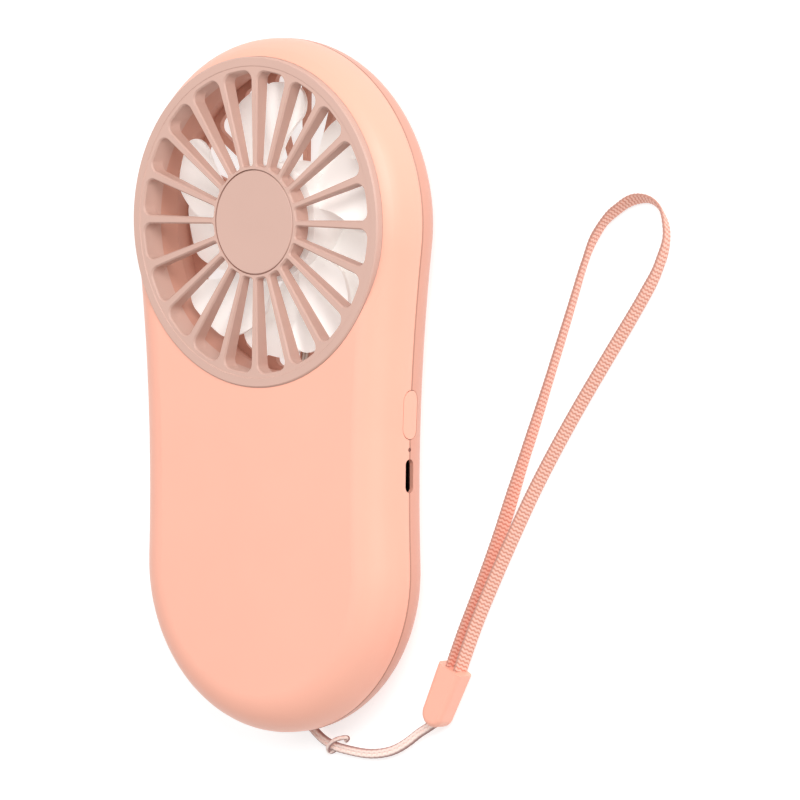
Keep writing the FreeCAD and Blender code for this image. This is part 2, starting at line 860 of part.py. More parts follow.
def make_rotor():
    node(
        "motor_shaft",
        cylinder(
            "motor_shaft", "shaft_radius", "cup_top - mount_top - shaft_cover - 0.15", 0,
            "head_centre", "mount_top + 0.15",
        ),
    )
    core_low = "mount_top + bush_length + end_play"
    core_high = "motor_top - can_wall - end_play - 0.5"
    core = cylinder(
        "armature_core", "armature_radius", f"({core_high}) - ({core_low})", 0, "head_centre",
        core_low,
    )
    bore = cylinder("armature_bore", "shaft_radius", 9, 0, "head_centre", "mount_top")
    slots = []
    for turn in range(5):
        angle = f"({turn} * 72 deg + 90 deg)"
        slots.append(
            cylinder(
                f"armature_slot_{turn}", "coil_slot_radius", 9, f"coil_slot_pitch * cos{angle}",
                f"head_centre + coil_slot_pitch * sin{angle}", "mount_top",
            )
        )
    node("motor_armature", cut("motor_armature", core, bore, *slots))

    roof_low = "cup_top - cup_roof"
    cup = ring("cup_wall_ring", "cup_radius", "cup_radius - cup_wall", "cup_split", roof_low)
    roof = cylinder("cup_roof_disc", "cup_radius", "cup_roof", 0, "head_centre", roof_low)
    boss_low = "motor_top + 0.9"
    boss = cylinder(
        "cup_boss_tube", "cup_boss", f"{roof_low} - ({boss_low})", 0, "head_centre", boss_low,
    )
    shaft_hole = cylinder(
        "cup_shaft_hole", "shaft_radius", "cup_top - shaft_cover - cup_split", 0, "head_centre",
        "cup_split",
    )
    cup_round = fuse("cup_whole", cup, roof, boss)
    front_blades = blades("front_blades", "front_blade_low", "front_blade_high", "front_blade_angle")
    whole = fuse("front_impeller_whole", cup_round, front_blades)
    node("front_impeller", cut("front_impeller", whole, shaft_hole))

    sleeve = ring("rear_sleeve", "cup_radius", "cup_radius - cup_wall", "cup_bottom", "cup_split")
    rear_blades = blades("rear_blades", "rear_blade_low", "rear_blade_high", "rear_blade_angle")
    node("rear_impeller", fuse("rear_impeller", sleeve, rear_blades))


# How far a blade's root runs into the hub, and its half widths as a slab at root, middle and tip.
ROOT_OVERLAP = 0.35
BLADE_HALF_WIDTHS = (5.4, 9.4, 12.6)
# How far a blade's tip trails its root, in degrees, and its half angles at root, middle and tip.
BLADE_SWEEP = 26.0
SWEEP_AT_MIDDLE = 0.12
BLADE_HALF_ANGLES = (16.0, 19.0, 18.5)


def blades(name, low, high, start_angle):
    """Five swept blades: a twisted slab trimmed to a rounded petal outline, repeated round the hub."""
    tip = measure("blade_tip")
    root = measure("cup_radius") - ROOT_OVERLAP
    bottom, top = measure(low), measure(high)
    thickness = measure("blade_thickness")
    sweep = math.radians(BLADE_SWEEP)

    def section(distance, half_width):
        """A slanted strip across the blade, its trailing edge high."""
        slope = math.atan2(top - bottom - thickness, 2 * half_width)
        lift = thickness / math.cos(slope)
        corners = [
            Vector(distance, half_width, bottom),
            Vector(distance, -half_width, top - lift),
            Vector(distance, -half_width, top),
            Vector(distance, half_width, bottom + lift),
        ]
        return Part.makePolygon(corners + corners[:1])

    stations = (root - ROOT_OVERLAP, (root + tip) / 2, tip + 1)
    sections = [section(*station) for station in zip(stations, BLADE_HALF_WIDTHS)]
    slab = Part.makeLoft(sections, True, True)

    def rim_point(radius, angle):
        return Vector(radius * math.cos(angle), radius * math.sin(angle), 0)

    def edge(side):
        """The leading or trailing edge: an arc that sweeps clockwise towards the tip."""
        root_half, middle_half, tip_half = (math.radians(half) for half in BLADE_HALF_ANGLES)
        root_angle = sweep / 2 + side * root_half
        middle_angle = sweep * SWEEP_AT_MIDDLE + side * middle_half
        tip_angle = -sweep / 2 + side * tip_half
        ends = rim_point(root, root_angle), rim_point(tip, tip_angle)
        middle = rim_point((root + tip) / 2, middle_angle)
        return Part.Arc(ends[0], middle, ends[1]).toShape(), ends

    leading, leading_ends = edge(1)
    trailing, trailing_ends = edge(-1)
    tip_arc = Part.Arc(leading_ends[1], rim_point(tip, -sweep / 2), trailing_ends[1]).toShape()
    root_arc = Part.Arc(leading_ends[0], rim_point(root, sweep / 2), trailing_ends[0]).toShape()
    petal = Part.Face(Part.Wire(Part.__sortEdges__([leading, tip_arc, trailing, root_arc])))
    prism = petal.extrude(Vector(0, 0, 30))
    tips = [
        side for side in prism.Edges
        if side.BoundBox.ZLength > 29 and math.hypot(*side.CenterOfMass[:2]) > tip - 1
    ]
    prism = prism.makeFillet(measure("blade_corner"), tips)
    blade = slab.common(prism)
    count, start = int(measure("blade_count")), measure(start_angle)
    copies = []
    for turn in range(count):
        copy = blade.copy()
        copy.rotate(Vector(), Vector(0, 0, 1), start + turn * 360 / count)
        copies.append(copy)
    feature = doc.addObject("Part::Feature", name)
    feature.Shape = Part.makeCompound(copies)
    return place(feature, 0, "head_centre", 0)


# ---------------------------------------------------------------- controls and electronics

# Length of the lying cylinder that gives the button's face its curve.
CROWN_LENGTH = 30.0


def make_button():
    """Push button whose face follows the casing's rounded side, with a flange and a stem inside."""
    face_block = obround(
        "button_block", "button_length", "button_height", 5, "button_root", "-button_centre",
        "parting",
    )
    crown_radius = "(front_round + button_crown)"
    crown = bind(
        doc.addObject("Part::Cylinder", "crown_cylinder"), Radius=crown_radius, Height=CROWN_LENGTH,
    )
    slant = FreeCAD.Rotation(Vector(0, 0, 1), -measure("side_slant"))
    lying = FreeCAD.Rotation(Vector(1, 0, 0), -90)
    place(
        crown, f"button_face - {crown_radius} - {CROWN_LENGTH / 2} * tan(side_slant * 1 deg)",
        f"-button_centre - {CROWN_LENGTH / 2}", "parting + 0.5", slant * lying,
    )
    face = common("button_crowned", face_block, crown)
    flange = obround(
        "button_flange", "button_length + 2 * flange_margin", "button_height + 2 * flange_margin",
        "flange_thickness", "flange_inside", "-button_centre", "parting",
    )
    stem = cylinder(
        "button_stem", "stem_radius", "flange_inside - stem_inside + 0.2", "stem_inside",
        "-button_centre", "parting", ALONG_X,
    )
    node("power_button", fuse("power_button", face, flange, stem))


def make_electronics():
    board_top = "(board_bottom + board_thickness)"
    board = box(
        "board_plate",
        ("board_left", "-board_foot", "board_bottom"),
        ("board_right", "board_head", board_top),
    )
    board_holes = [
        cylinder("board_hole_" + name, "board_hole", 3, x, y, "board_bottom - 1")
        for name, x, y in BOARD_SCREW_PLACES
    ]
    node("circuit_board", cut("circuit_board", board, *board_holes))

    # Name, place of the lower left corner in X and Y, and size in X, Y and Z.
    chips = [
        ("charge_chip", 19.5, -20, 5, 4, 1.5),
        ("control_chip", 19.4, -11.5, 4, 5, 1.5),
        ("inductor", 23.6, -26.6, 3.6, 3.6, 1.8),
        ("capacitor_a", 19.8, -22.6, 1.6, 0.9, 0.8),
        ("capacitor_b", 25.4, -12.6, 1.6, 0.9, 0.8),
        ("resistor_a", 24.6, -9.6, 1.6, 0.9, 0.5),
        ("resistor_b", 20.5, -4.4, 1.6, 0.9, 0.5),
    ]
    parts = [
        box(name, (x, y, board_top), (x + long, y + wide, f"{board_top} + {tall}"))
        for name, x, y, long, wide, tall in chips
    ]
    node("board_components", fuse("board_components", *parts))

    outside = box(
        "socket_outside",
        ("socket_inside", "-socket_centre - socket_shell_length / 2", board_top),
        (
            "socket_mouth", "-socket_centre + socket_shell_length / 2",
            f"{board_top} + socket_shell_height",
        ),
    )
    inside = box(
        "socket_hollow",
        (
            "socket_inside + socket_back", "-socket_centre - socket_shell_length / 2 + socket_shell",
            f"{board_top} + socket_shell",
        ),
        (
            "socket_mouth + 1", "-socket_centre + socket_shell_length / 2 - socket_shell",
            f"{board_top} + socket_shell_height - socket_shell",
        ),
    )
    node("usb_socket", cut("usb_socket", outside, inside))
    node(
        "usb_tongue",
        box(
            "usb_tongue",
            (
                "socket_inside + socket_back", "-socket_centre - tongue_length / 2",
                f"{board_top} + tongue_bottom",
            ),
            (
                "tongue_end", "-socket_centre + tongue_length / 2",
                f"{board_top} + tongue_bottom + tongue_thickness",
            ),
        ),
    )
    node(
        "charge_led",
        box(
            "charge_led",
            ("led_inside", "-led_centre - led_length / 2", board_top),
            ("led_inside + led_depth", "-led_centre + led_length / 2", "parting + 0.5"),
        ),
    )
    node(
        "light_pipe",
        cylinder(
            "light_pipe", "led_radius", "pipe_length", "led_inside + led_depth + pipe_gap",
            "-led_centre", "parting", ALONG_X,
        ),
    )

    switch_block = box(
        "switch_block",
        ("switch_inside", "-button_centre - switch_length / 2", board_top),
        (
            "switch_inside + switch_depth", "-button_centre + switch_length / 2",
            f"{board_top} + switch_height",
        ),
    )
    switch_hole = cylinder(
        "switch_hole", "plunger_radius + plunger_play", 4, "plunger_inside - plunger_room",
        "-button_centre", "parting", ALONG_X,
    )
    node("switch_body", cut("switch_body", switch_block, switch_hole))
    node(
        "switch_plunger",
        cylinder(
            "switch_plunger", "plunger_radius", "stem_inside - plunger_inside - 0.05",
            "plunger_inside", "-button_centre", "parting", ALONG_X,
        ),
    )

    screws = []
    for name, x, y in BOARD_SCREW_PLACES:
        head = cylinder(
            "board_screw_head_" + name, "board_screw_head", "board_screw_head_height", x, y,
            board_top,
        )
        shank = cylinder(
            "board_screw_shank_" + name, "board_screw_radius", "board_screw_length", x, y,
            f"{board_top} - board_screw_length",
        )
        screws.append(fuse("board_screw_" + name, head, shank))
    node("board_screws", fuse("board_screws", *screws))


def make_battery():
    left, right = "-battery_width / 2", "battery_width / 2"
    foot, head = "-battery_centre - battery_length / 2", "-battery_centre + battery_length / 2"
    low = "wall + foam_height"
    node("battery_foam", box("battery_foam", (left, foot, "wall"), (right, head, low)))
    cell = box("battery_block", (left, foot, low), (right, head, f"{low} + battery_height"))
    rounded = doc.addObject("Part::Fillet", "battery_rounded")
    rounded.Base = cell
    doc.recompute()
    corner = measure("battery_corner")
    rounded.Edges = [
        (i, corner, corner) for i, edge in enumerate(cell.Shape.Edges, start=1)
        if edge.BoundBox.YLength > corner
    ]
    node("battery_cell", rounded)


def rounded_path(points):
    """Straight runs joined by tangent arcs, each as large as its two runs allow."""
    points = [Vector(*point) for point in points]
    edges, radii = [], []
    start = points[0]
    for before, here, after in zip(points, points[1:], points[2:]):
        back, ahead = (before - here), (after - here)
        turn = math.pi - back.getAngle(ahead)
        reach = 0.45 * min(back.Length, ahead.Length)
        radii.append(reach / math.tan(turn / 2))
        back.normalize()
        ahead.normalize()
        enter, leave = here + back * reach, here + ahead * reach
        inward = back + ahead
        inward.normalize()
        centre_distance = radii[-1] / math.cos(turn / 2)
        middle = here + inward * (centre_distance - radii[-1])
        edges.append(Part.LineSegment(start, enter).toShape())
        edges.append(Part.Arc(enter, middle, leave).toShape())
        start = leave
    edges.append(Part.LineSegment(start, points[-1]).toShape())
    return Part.Wire(edges), radii


def swept(points, profile, area, name):
    """Sweep a closed profile, drawn round the path's start, and compare its volume."""
    path, radii = rounded_path(points)
    start = Vector(*points[0])
    ahead = (Vector(*points[1]) - start).normalize()
    wire = profile(start, ahead)
    solid = path.makePipeShell([wire], True, False)
    print(name, "length", round(path.Length, 1), "radii", [round(radius, 1) for radius in radii])
    print(name, "volume / (section x length)", round(solid.Volume / (area * path.Length), 4))
    return solid


def round_profile(radius):
    def draw(start, ahead):
        return Part.Wire(Part.Circle(start, ahead, radius).toShape())
    return draw


def make_leads():
    """Insulated wires: battery to board, and board to motor along the rear grille's channel."""
    wire_radius = measure("wire_radius")
    area = math.pi * wire_radius**2
    cell_head = -measure("battery_centre") + measure("battery_length") / 2
    board_edge = measure("board_left")
    solder = measure("board_bottom") + 0.4
    battery_wires = []
    for index, offset in enumerate((0.0, 2.4)):
        points = [
            (10.0 + offset, cell_head, 7.4),
            (10.4 + offset, cell_head + 3.0 + 0.3 * offset, 7.2),
            (13.6 + 0.6 * offset, cell_head + 6.2 - 0.6 * offset, 6.9),
            (board_edge, cell_head + 7.4 - 1.2 * offset, solder),
        ]
        battery_wires.append(swept(points, round_profile(wire_radius), area, f"battery lead {index}"))
    motor_wires = []
    channel = measure("spoke_bottom + spoke_depth") - 0.45
    motor_edge = measure("head_centre - motor_radius") - 0.05
    ring_edge = measure("head_centre - ring_radius")
    for index, side in enumerate((-0.45, 0.45)):
        points = [
            (side, motor_edge, channel),
            (side, ring_edge + 7.0, channel),
            (side, ring_edge + 2.7, channel + 1.2),
            (side + 0.3, ring_edge - 2.2, channel + 2.2),
            (side + 4.2, ring_edge - 5.0 + side, channel + 3.8),
            (board_edge, ring_edge - 5.6 + 2.2 * side, solder),
        ]
        motor_wires.append(swept(points, round_profile(wire_radius), area, f"motor lead {index}"))
    for label, wires in (("battery_leads", battery_wires), ("motor_leads", motor_wires)):
        feature = doc.addObject("Part::Feature", label)
        feature.Shape = Part.makeCompound(wires)
        node(label, feature)


# ---------------------------------------------------------------- lanyard

# The cord leaves the eye at the foot, lies on the table and goes into the clasp.
CORD_ROUTE = [
    (0.2, -71.2, 2.9),
    (0.7, -73.1, 2.1),
    (2.0, -75.0, 1.3),
    (4.6, -77.0, 1.1),
    (8.0, -78.3, 1.1),
    (12.4, -78.9, 1.1),
    (17.0, -79.3, 1.1),
    (21.2, -79.0, 1.1),
    (25.3, -78.0, 1.1),
    (29.0, -76.1, 1.1),
    (32.2, -73.9, 1.1),
    (34.8, -72.7, 1.5),
    (37.6, -71.3, 2.0),
]
CLASP_FOOT = (37.5, -71.8)
CLASP_MOUTH = (43.7, -59.3)
# The strap is a flat band that stands on its edge: out along its left strand, round the far end
# and back along its right strand.
STRAP_ROUTE = [
    (42.2, -59.9),
    (45.6, -52.0),
    (49.5, -44.3),
    (53.4, -36.1),
    (57.3, -27.2),
    (61.0, -17.6),
    (65.0, -8.2),
    (69.0, 1.6),
    (72.9, 11.4),
    (76.5, 20.6),
    (79.4, 28.4),
    (82.9, 35.2),
    (88.0, 39.7),
    (94.2, 42.6),
    (99.6, 41.4),
    (102.5, 35.6),
    (100.6, 29.2),
    (97.0, 23.2),
    (91.6, 15.9),
    (85.0, 7.2),
    (78.1, -2.0),
    (71.6, -11.2),
    (65.4, -20.6),
    (59.8, -30.2),
    (54.6, -39.4),
    (50.2, -47.6),
    (47.2, -54.0),
    (44.2, -60.9),
]


def make_lanyard():
    radius = measure("cord_diameter / 2")
    cord = swept(CORD_ROUTE, round_profile(radius), math.pi * radius**2, "cord")
    width, thickness = measure("strap_width"), measure("strap_thickness")

    def band(start, ahead):
        across = Vector(-ahead.y, ahead.x, 0) * (thickness / 2)
        up = Vector(0, 0, width)
        corners = [start - across, start + across, start + across + up, start - across + up]
        return Part.makePolygon(corners + corners[:1])

    route = [(x, y, 0.05) for x, y in STRAP_ROUTE]
    strap = swept(route, band, width * thickness, "strap")

    foot, mouth = Vector(*CLASP_FOOT, 0), Vector(*CLASP_MOUTH, 0)
    length = (mouth - foot).Length
    half_width = measure("clasp_width / 2")
    shoulder = Vector(
        -length / 2 + measure("clasp_foot_depth"), half_width - measure("clasp_taper"), 0,
    )
    lip = Vector(length / 2, half_width, 0)
    mirrored = FreeCAD.Matrix(1, 0, 0, 0, 0, -1, 0, 0, 0, 0, 1, 0, 0, 0, 0, 1)
    other_shoulder, other_lip = mirrored.multVec(shoulder), mirrored.multVec(lip)
    rim = Part.Wire([
        Part.LineSegment(lip, shoulder).toShape(),
        Part.Arc(shoulder, Vector(-length / 2, 0, 0), other_shoulder).toShape(),
        Part.LineSegment(other_shoulder, other_lip).toShape(),
        Part.LineSegment(other_lip, lip).toShape(),
    ])
    clasp = Part.Face(rim).extrude(Vector(0, 0, measure("clasp_height")))
    rims = [
        edge for edge in clasp.Edges
        if edge.BoundBox.ZLength < 1e-6 and edge.CenterOfMass.x < length / 2 - 0.1
    ]
    clasp = clasp.makeFillet(measure("clasp_round"), rims)
    direction = mouth - foot
    clasp.rotate(Vector(), Vector(0, 0, 1), math.degrees(math.atan2(direction.y, direction.x)))
    clasp.translate((foot + mouth) * 0.5)
    clasp = clasp.cut(cord).cut(strap)
    for label, shape in (("lanyard_cord", cord), ("wrist_strap", strap), ("strap_clasp", clasp)):
        feature = doc.addObject("Part::Feature", label)
        feature.Shape = shape
        node(label, feature)


# ---------------------------------------------------------------- build

shell_openings = side_openings()
make_front_shell(shell_openings)
make_rear_shell(shell_openings)
make_case_screws()
make_front_grille()
make_rear_grille()
make_duct_sleeve()
make_motor()
make_rotor()
make_button()
make_electronics()
make_battery()
make_leads()
make_lanyard()
doc.recompute()

for thing in doc.Objects:
    if "Invalid" in thing.State or "Error" in thing.State:
        raise RuntimeError(f"{thing.Name} failed: {thing.State}")
for thing in nodes:
    if thing.Shape.isNull() or not thing.Shape.isValid():
        raise RuntimeError(f"{thing.Label} has no valid shape")

os.makedirs("parts", exist_ok=True)
for thing in nodes:
    thing.Shape.exportStep(os.path.join("parts", thing.Label + ".step"))
    print(thing.Label, len(thing.Shape.Solids), "solid(s)", round(thing.Shape.Volume, 1), "mm3")
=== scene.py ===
import json
import math

import bmesh
import bpy
from mathutils import Matrix, Vector


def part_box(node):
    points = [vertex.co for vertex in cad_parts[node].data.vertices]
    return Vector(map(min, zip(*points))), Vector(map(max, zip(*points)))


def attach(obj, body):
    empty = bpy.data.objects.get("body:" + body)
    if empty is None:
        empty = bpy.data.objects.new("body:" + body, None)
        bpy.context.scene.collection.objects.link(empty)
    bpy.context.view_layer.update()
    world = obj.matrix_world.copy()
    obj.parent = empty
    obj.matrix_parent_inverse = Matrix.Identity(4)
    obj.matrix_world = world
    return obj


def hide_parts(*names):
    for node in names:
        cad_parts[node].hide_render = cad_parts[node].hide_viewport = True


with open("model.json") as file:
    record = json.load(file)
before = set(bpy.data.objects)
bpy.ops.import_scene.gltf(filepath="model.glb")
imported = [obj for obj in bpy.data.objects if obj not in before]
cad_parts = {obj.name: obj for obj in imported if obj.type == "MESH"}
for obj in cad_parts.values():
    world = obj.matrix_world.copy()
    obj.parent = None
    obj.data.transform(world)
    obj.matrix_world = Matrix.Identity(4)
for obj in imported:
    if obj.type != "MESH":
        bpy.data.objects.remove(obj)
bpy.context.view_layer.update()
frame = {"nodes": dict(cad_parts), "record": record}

NODES = frame["nodes"]
MM = 0.001

# ---------------------------------------------------------------- camera

SENSOR = 36.0
LENS = 400.0
CAMERA_DISTANCE = 1.9192
CAMERA_YAW = math.radians(41.55)
CAMERA_PITCH = math.radians(3.0)
# How far the view's centre lies from the fan's own centre, to the right and down.
FRAME_RIGHT = 25.24 * MM
FRAME_DOWN = 3.13 * MM
CLIP_START = 0.05
CLIP_END = 20.0


def make_camera():
    """A long lens on the fan from its button side, with the fan's length upright in the frame."""
    back = Vector((
        math.sin(CAMERA_YAW) * math.cos(CAMERA_PITCH),
        math.sin(CAMERA_PITCH),
        math.cos(CAMERA_YAW) * math.cos(CAMERA_PITCH),
    ))
    right = Vector((math.cos(CAMERA_YAW), 0, -math.sin(CAMERA_YAW)))
    up = back.cross(right)
    low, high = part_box("front_shell")
    fan_centre = Vector(((low.x + high.x) / 2, 0, high.z / 2))
    target = fan_centre + right * FRAME_RIGHT - up * FRAME_DOWN
    data = bpy.data.cameras.new("camera")
    data.lens = LENS
    data.sensor_width = SENSOR
    data.clip_start = CLIP_START
    data.clip_end = CLIP_END
    camera = bpy.data.objects.new("camera", data)
    bpy.context.scene.collection.objects.link(camera)
    rotation = Matrix((right, up, back)).transposed().to_4x4()
    camera.matrix_world = Matrix.Translation(target + back * CAMERA_DISTANCE) @ rotation
    bpy.context.scene.camera = camera


make_camera()

# ---------------------------------------------------------------- node materials


def srgb(red, green, blue):
    """A colour given as 0 to 255 display values, in linear light."""
    def linear(value):
        value /= 255
        return value / 12.92 if value <= 0.04045 else ((value + 0.055) / 1.055) ** 2.4
    return linear(red), linear(green), linear(blue), 1.0


class Nodes:
    """Short calls for building a material's node tree."""

    def __init__(self, name):
        self.material = bpy.data.materials.new(name)
        self.material.use_nodes = True
        self.tree = self.material.node_tree
        self.shader = self.tree.nodes["Principled BSDF"]

    def add(self, kind, **settings):
        node = self.tree.nodes.new("ShaderNode" + kind)
        for key, value in settings.items():
            setattr(node, key, value)
        return node

    def link(self, source, target):
        self.tree.links.new(source, target)

    def position(self, stretch=(1, 1, 1)):
        place = self.add("TexCoord")
        scaled = self.add("Mapping")
        scaled.inputs["Scale"].default_value = stretch
        self.link(place.outputs["Object"], scaled.inputs["Vector"])
        return scaled.outputs["Vector"]

    def noise(self, vector, scale, detail=2.0, roughness=0.5):
        node = self.add("TexNoise")
        node.inputs["Scale"].default_value = scale
        node.inputs["Detail"].default_value = detail
        node.inputs["Roughness"].default_value = roughness
        self.link(vector, node.inputs["Vector"])
        return node.outputs["Fac"]

    def ramp(self, value, stops):
        node = self.add("ValToRGB")
        elements = node.color_ramp.elements
        while len(elements) < len(stops):
            elements.new(0.5)
        for element, (place, colour) in zip(elements, stops):
            element.position = place
            element.color = colour
        self.link(value, node.inputs["Fac"])
        return node.outputs["Color"]

    def spread(self, value, low, high):
        """Map a 0 to 1 value to a range."""
        node = self.add("MapRange")
        node.inputs["To Min"].default_value = low
        node.inputs["To Max"].default_value = high
        self.link(value, node.inputs["Value"])
        return node.outputs["Result"]

    def math(self, operation, first, second):
        node = self.add("Math", operation=operation)
        for socket, value in zip(node.inputs, (first, second)):
            if isinstance(value, (int, float)):
                socket.default_value = value
            else:
                self.link(value, socket)
        return node.outputs["Value"]

    def blend(self, factor, first, second):
        """The colour first, or second where factor is 1."""
        node = self.add("Mix", data_type="RGBA")
        self.link(factor, node.inputs["Factor"])
        self.link(first, node.inputs["A"])
        node.inputs["B"].default_value = second
        return node.outputs["Result"]

    def bump(self, height, strength, distance):
        node = self.add("Bump")
        node.inputs["Strength"].default_value = strength
        node.inputs["Distance"].default_value = distance
        self.link(height, node.inputs["Height"])
        self.link(node.outputs["Normal"], self.shader.inputs["Normal"])

    def set(self, **sockets):
        for name, value in sockets.items():
            self.shader.inputs[name.replace("_", " ")].default_value = value


def shade(colour, factor):
    """The colour made darker or lighter by a factor."""
    return tuple(channel * factor for channel in colour[:3]) + (1.0,)


# Texture scales are in cells per metre, and bump depths in metres.
CLOUD_SCALE = 55
GLOSS_SCALE = 380
GRAIN_DEPTH = 0.00005
METAL_DEPTH = 0.00004
CELL_SCALE = 1600
CELL_DEPTH = 0.0002
TRACK_SCALE = 260
TRACK_WIDTH = 0.05
WIRE_SCALE = 120
WIRE_GRAIN = 1800
FIBRE_SCALE = 5200
FIBRE_DEPTH = 0.00008
# How dark the painted shade in the gap along a joint is, against the colour beside it.
SEAM_PAINTED_SHADE = 0.72


def moulded_plastic(
    name, colour, rough, grain=3200, relief=0.05, cloud=0.025, specular=0.4, sheen=0.0, painted_glow=0.0,
    shade_seam_height=None,
):
    """Moulded plastic: faint clouding in its colour, fine spark-eroded grain, uneven gloss.

    painted_glow is painted light: an emission standing for the light that a thin white moulding
    lets through. Above the height shade_seam_height, the colour is darkened as painted shade in the
    gap along a joint.
    """
    nodes = Nodes(name)
    where = nodes.position()
    clouds = nodes.noise(where, CLOUD_SCALE, 3)
    tint = nodes.ramp(clouds, [(0.3, shade(colour, 1 - cloud)), (0.7, shade(colour, 1 + cloud))])
    if shade_seam_height is not None:
        height = nodes.add("SeparateXYZ")
        nodes.link(where, height.inputs["Vector"])
        tint = nodes.blend(
            nodes.math("GREATER_THAN", height.outputs["Z"], shade_seam_height), tint, shade(colour, SEAM_PAINTED_SHADE),
        )
    nodes.link(tint, nodes.shader.inputs["Base Color"])
    gloss = nodes.noise(where, GLOSS_SCALE, 3)
    nodes.link(nodes.spread(gloss, rough - 0.04, rough + 0.05), nodes.shader.inputs["Roughness"])
    nodes.bump(nodes.noise(where, grain, 2), relief, GRAIN_DEPTH)
    nodes.set(Specular_IOR_Level=specular, Sheen_Weight=sheen, Sheen_Roughness=0.5)
    nodes.set(Emission_Color=colour, Emission_Strength=painted_glow)
    return nodes.material


def metal(name, colour, rough, stretch=(1, 1, 1), grain=900):
    """Metal with fine drawn or sintered grain."""
    nodes = Nodes(name)
    where = nodes.position(stretch)
    grains = nodes.noise(where, grain, 4)
    tint = nodes.ramp(grains, [(0.3, shade(colour, 0.82)), (0.7, colour)])
    nodes.link(tint, nodes.shader.inputs["Base Color"])
    nodes.link(nodes.spread(grains, rough - 0.06, rough + 0.1), nodes.shader.inputs["Roughness"])
    nodes.bump(grains, 0.12, METAL_DEPTH)
    nodes.set(Metallic=1.0)
    return nodes.material


def foam(name, colour):
    """Closed-cell foam: small round cells."""
    nodes = Nodes(name)
    cells = nodes.add("TexVoronoi")
    cells.inputs["Scale"].default_value = CELL_SCALE
    nodes.link(nodes.position(), cells.inputs["Vector"])
    depth = cells.outputs["Distance"]
    # Each cell is darker towards its hollow: painted shade.
    tint = nodes.ramp(depth, [(0.0, shade(colour, 0.5)), (0.6, colour)])
    nodes.link(tint, nodes.shader.inputs["Base Color"])
    nodes.bump(depth, 0.6, CELL_DEPTH)
    nodes.set(Roughness=0.9)
    return nodes.material


def circuit(name, mask, trace):
    """Green solder mask over blocky copper tracks."""
    nodes = Nodes(name)
    tracks = nodes.add("TexBrick", offset=0.35)
    tracks.inputs["Scale"].default_value = TRACK_SCALE
    tracks.inputs["Mortar Size"].default_value = TRACK_WIDTH
    tracks.inputs["Color1"].default_value = mask
    tracks.inputs["Color2"].default_value = shade(mask, 1.25)
    tracks.inputs["Mortar"].default_value = trace
    nodes.link(nodes.position(), tracks.inputs["Vector"])
    nodes.link(tracks.outputs["Color"], nodes.shader.inputs["Base Color"])
    nodes.bump(tracks.outputs["Fac"], 0.3, METAL_DEPTH)
    nodes.set(Roughness=0.28, Coat_Weight=0.4)
    return nodes.material


def two_wires(name, first, second):
    """Wire insulation in two colours that change from place to place."""
    nodes = Nodes(name)
    where = nodes.position()
    patches = nodes.noise(where, WIRE_SCALE, 1)
    tint = nodes.ramp(patches, [(0.48, first), (0.52, second)])
    nodes.link(tint, nodes.shader.inputs["Base Color"])
    nodes.bump(nodes.noise(where, WIRE_GRAIN, 2), 0.1, GRAIN_DEPTH)
    nodes.set(Roughness=0.45)
    return nodes.material


def thread(name, light, hollow_shade, edge):
    """Woven or braided yarn: pale on the yarns, with painted shade between them and at the edges."""
    nodes = Nodes(name)
    depth = nodes.add("Attribute", attribute_name="weave")
    edge_shade = nodes.add("Attribute", attribute_name="edge_shade")
    fibres = nodes.noise(nodes.position(), FIBRE_SCALE, 3, 0.7)
    height = nodes.math("ADD", depth.outputs["Fac"], nodes.spread(fibres, -0.14, 0.14))
    # Low yarn height gets the painted shade of the hollows, and the edge mask gets the painted shade
    # of the edges.
    yarn = nodes.ramp(height, [(0.12, hollow_shade), (0.75, light)])
    tint = nodes.blend(edge_shade.outputs["Fac"], yarn, edge)
    nodes.link(tint, nodes.shader.inputs["Base Color"])
    nodes.bump(fibres, 0.25, FIBRE_DEPTH)
    nodes.set(Roughness=0.72, Specular_IOR_Level=0.25, Sheen_Weight=0.25, Sheen_Roughness=0.45)
    return nodes.material


CORAL = srgb(252, 184, 161)
DUSTY = srgb(210, 172, 158)
# Painted shade: the grille colour darkened for the shaded inside of the duct.
DUCT_PAINTED_SHADE = srgb(206, 152, 133)
OFF_WHITE = srgb(248, 247, 244)

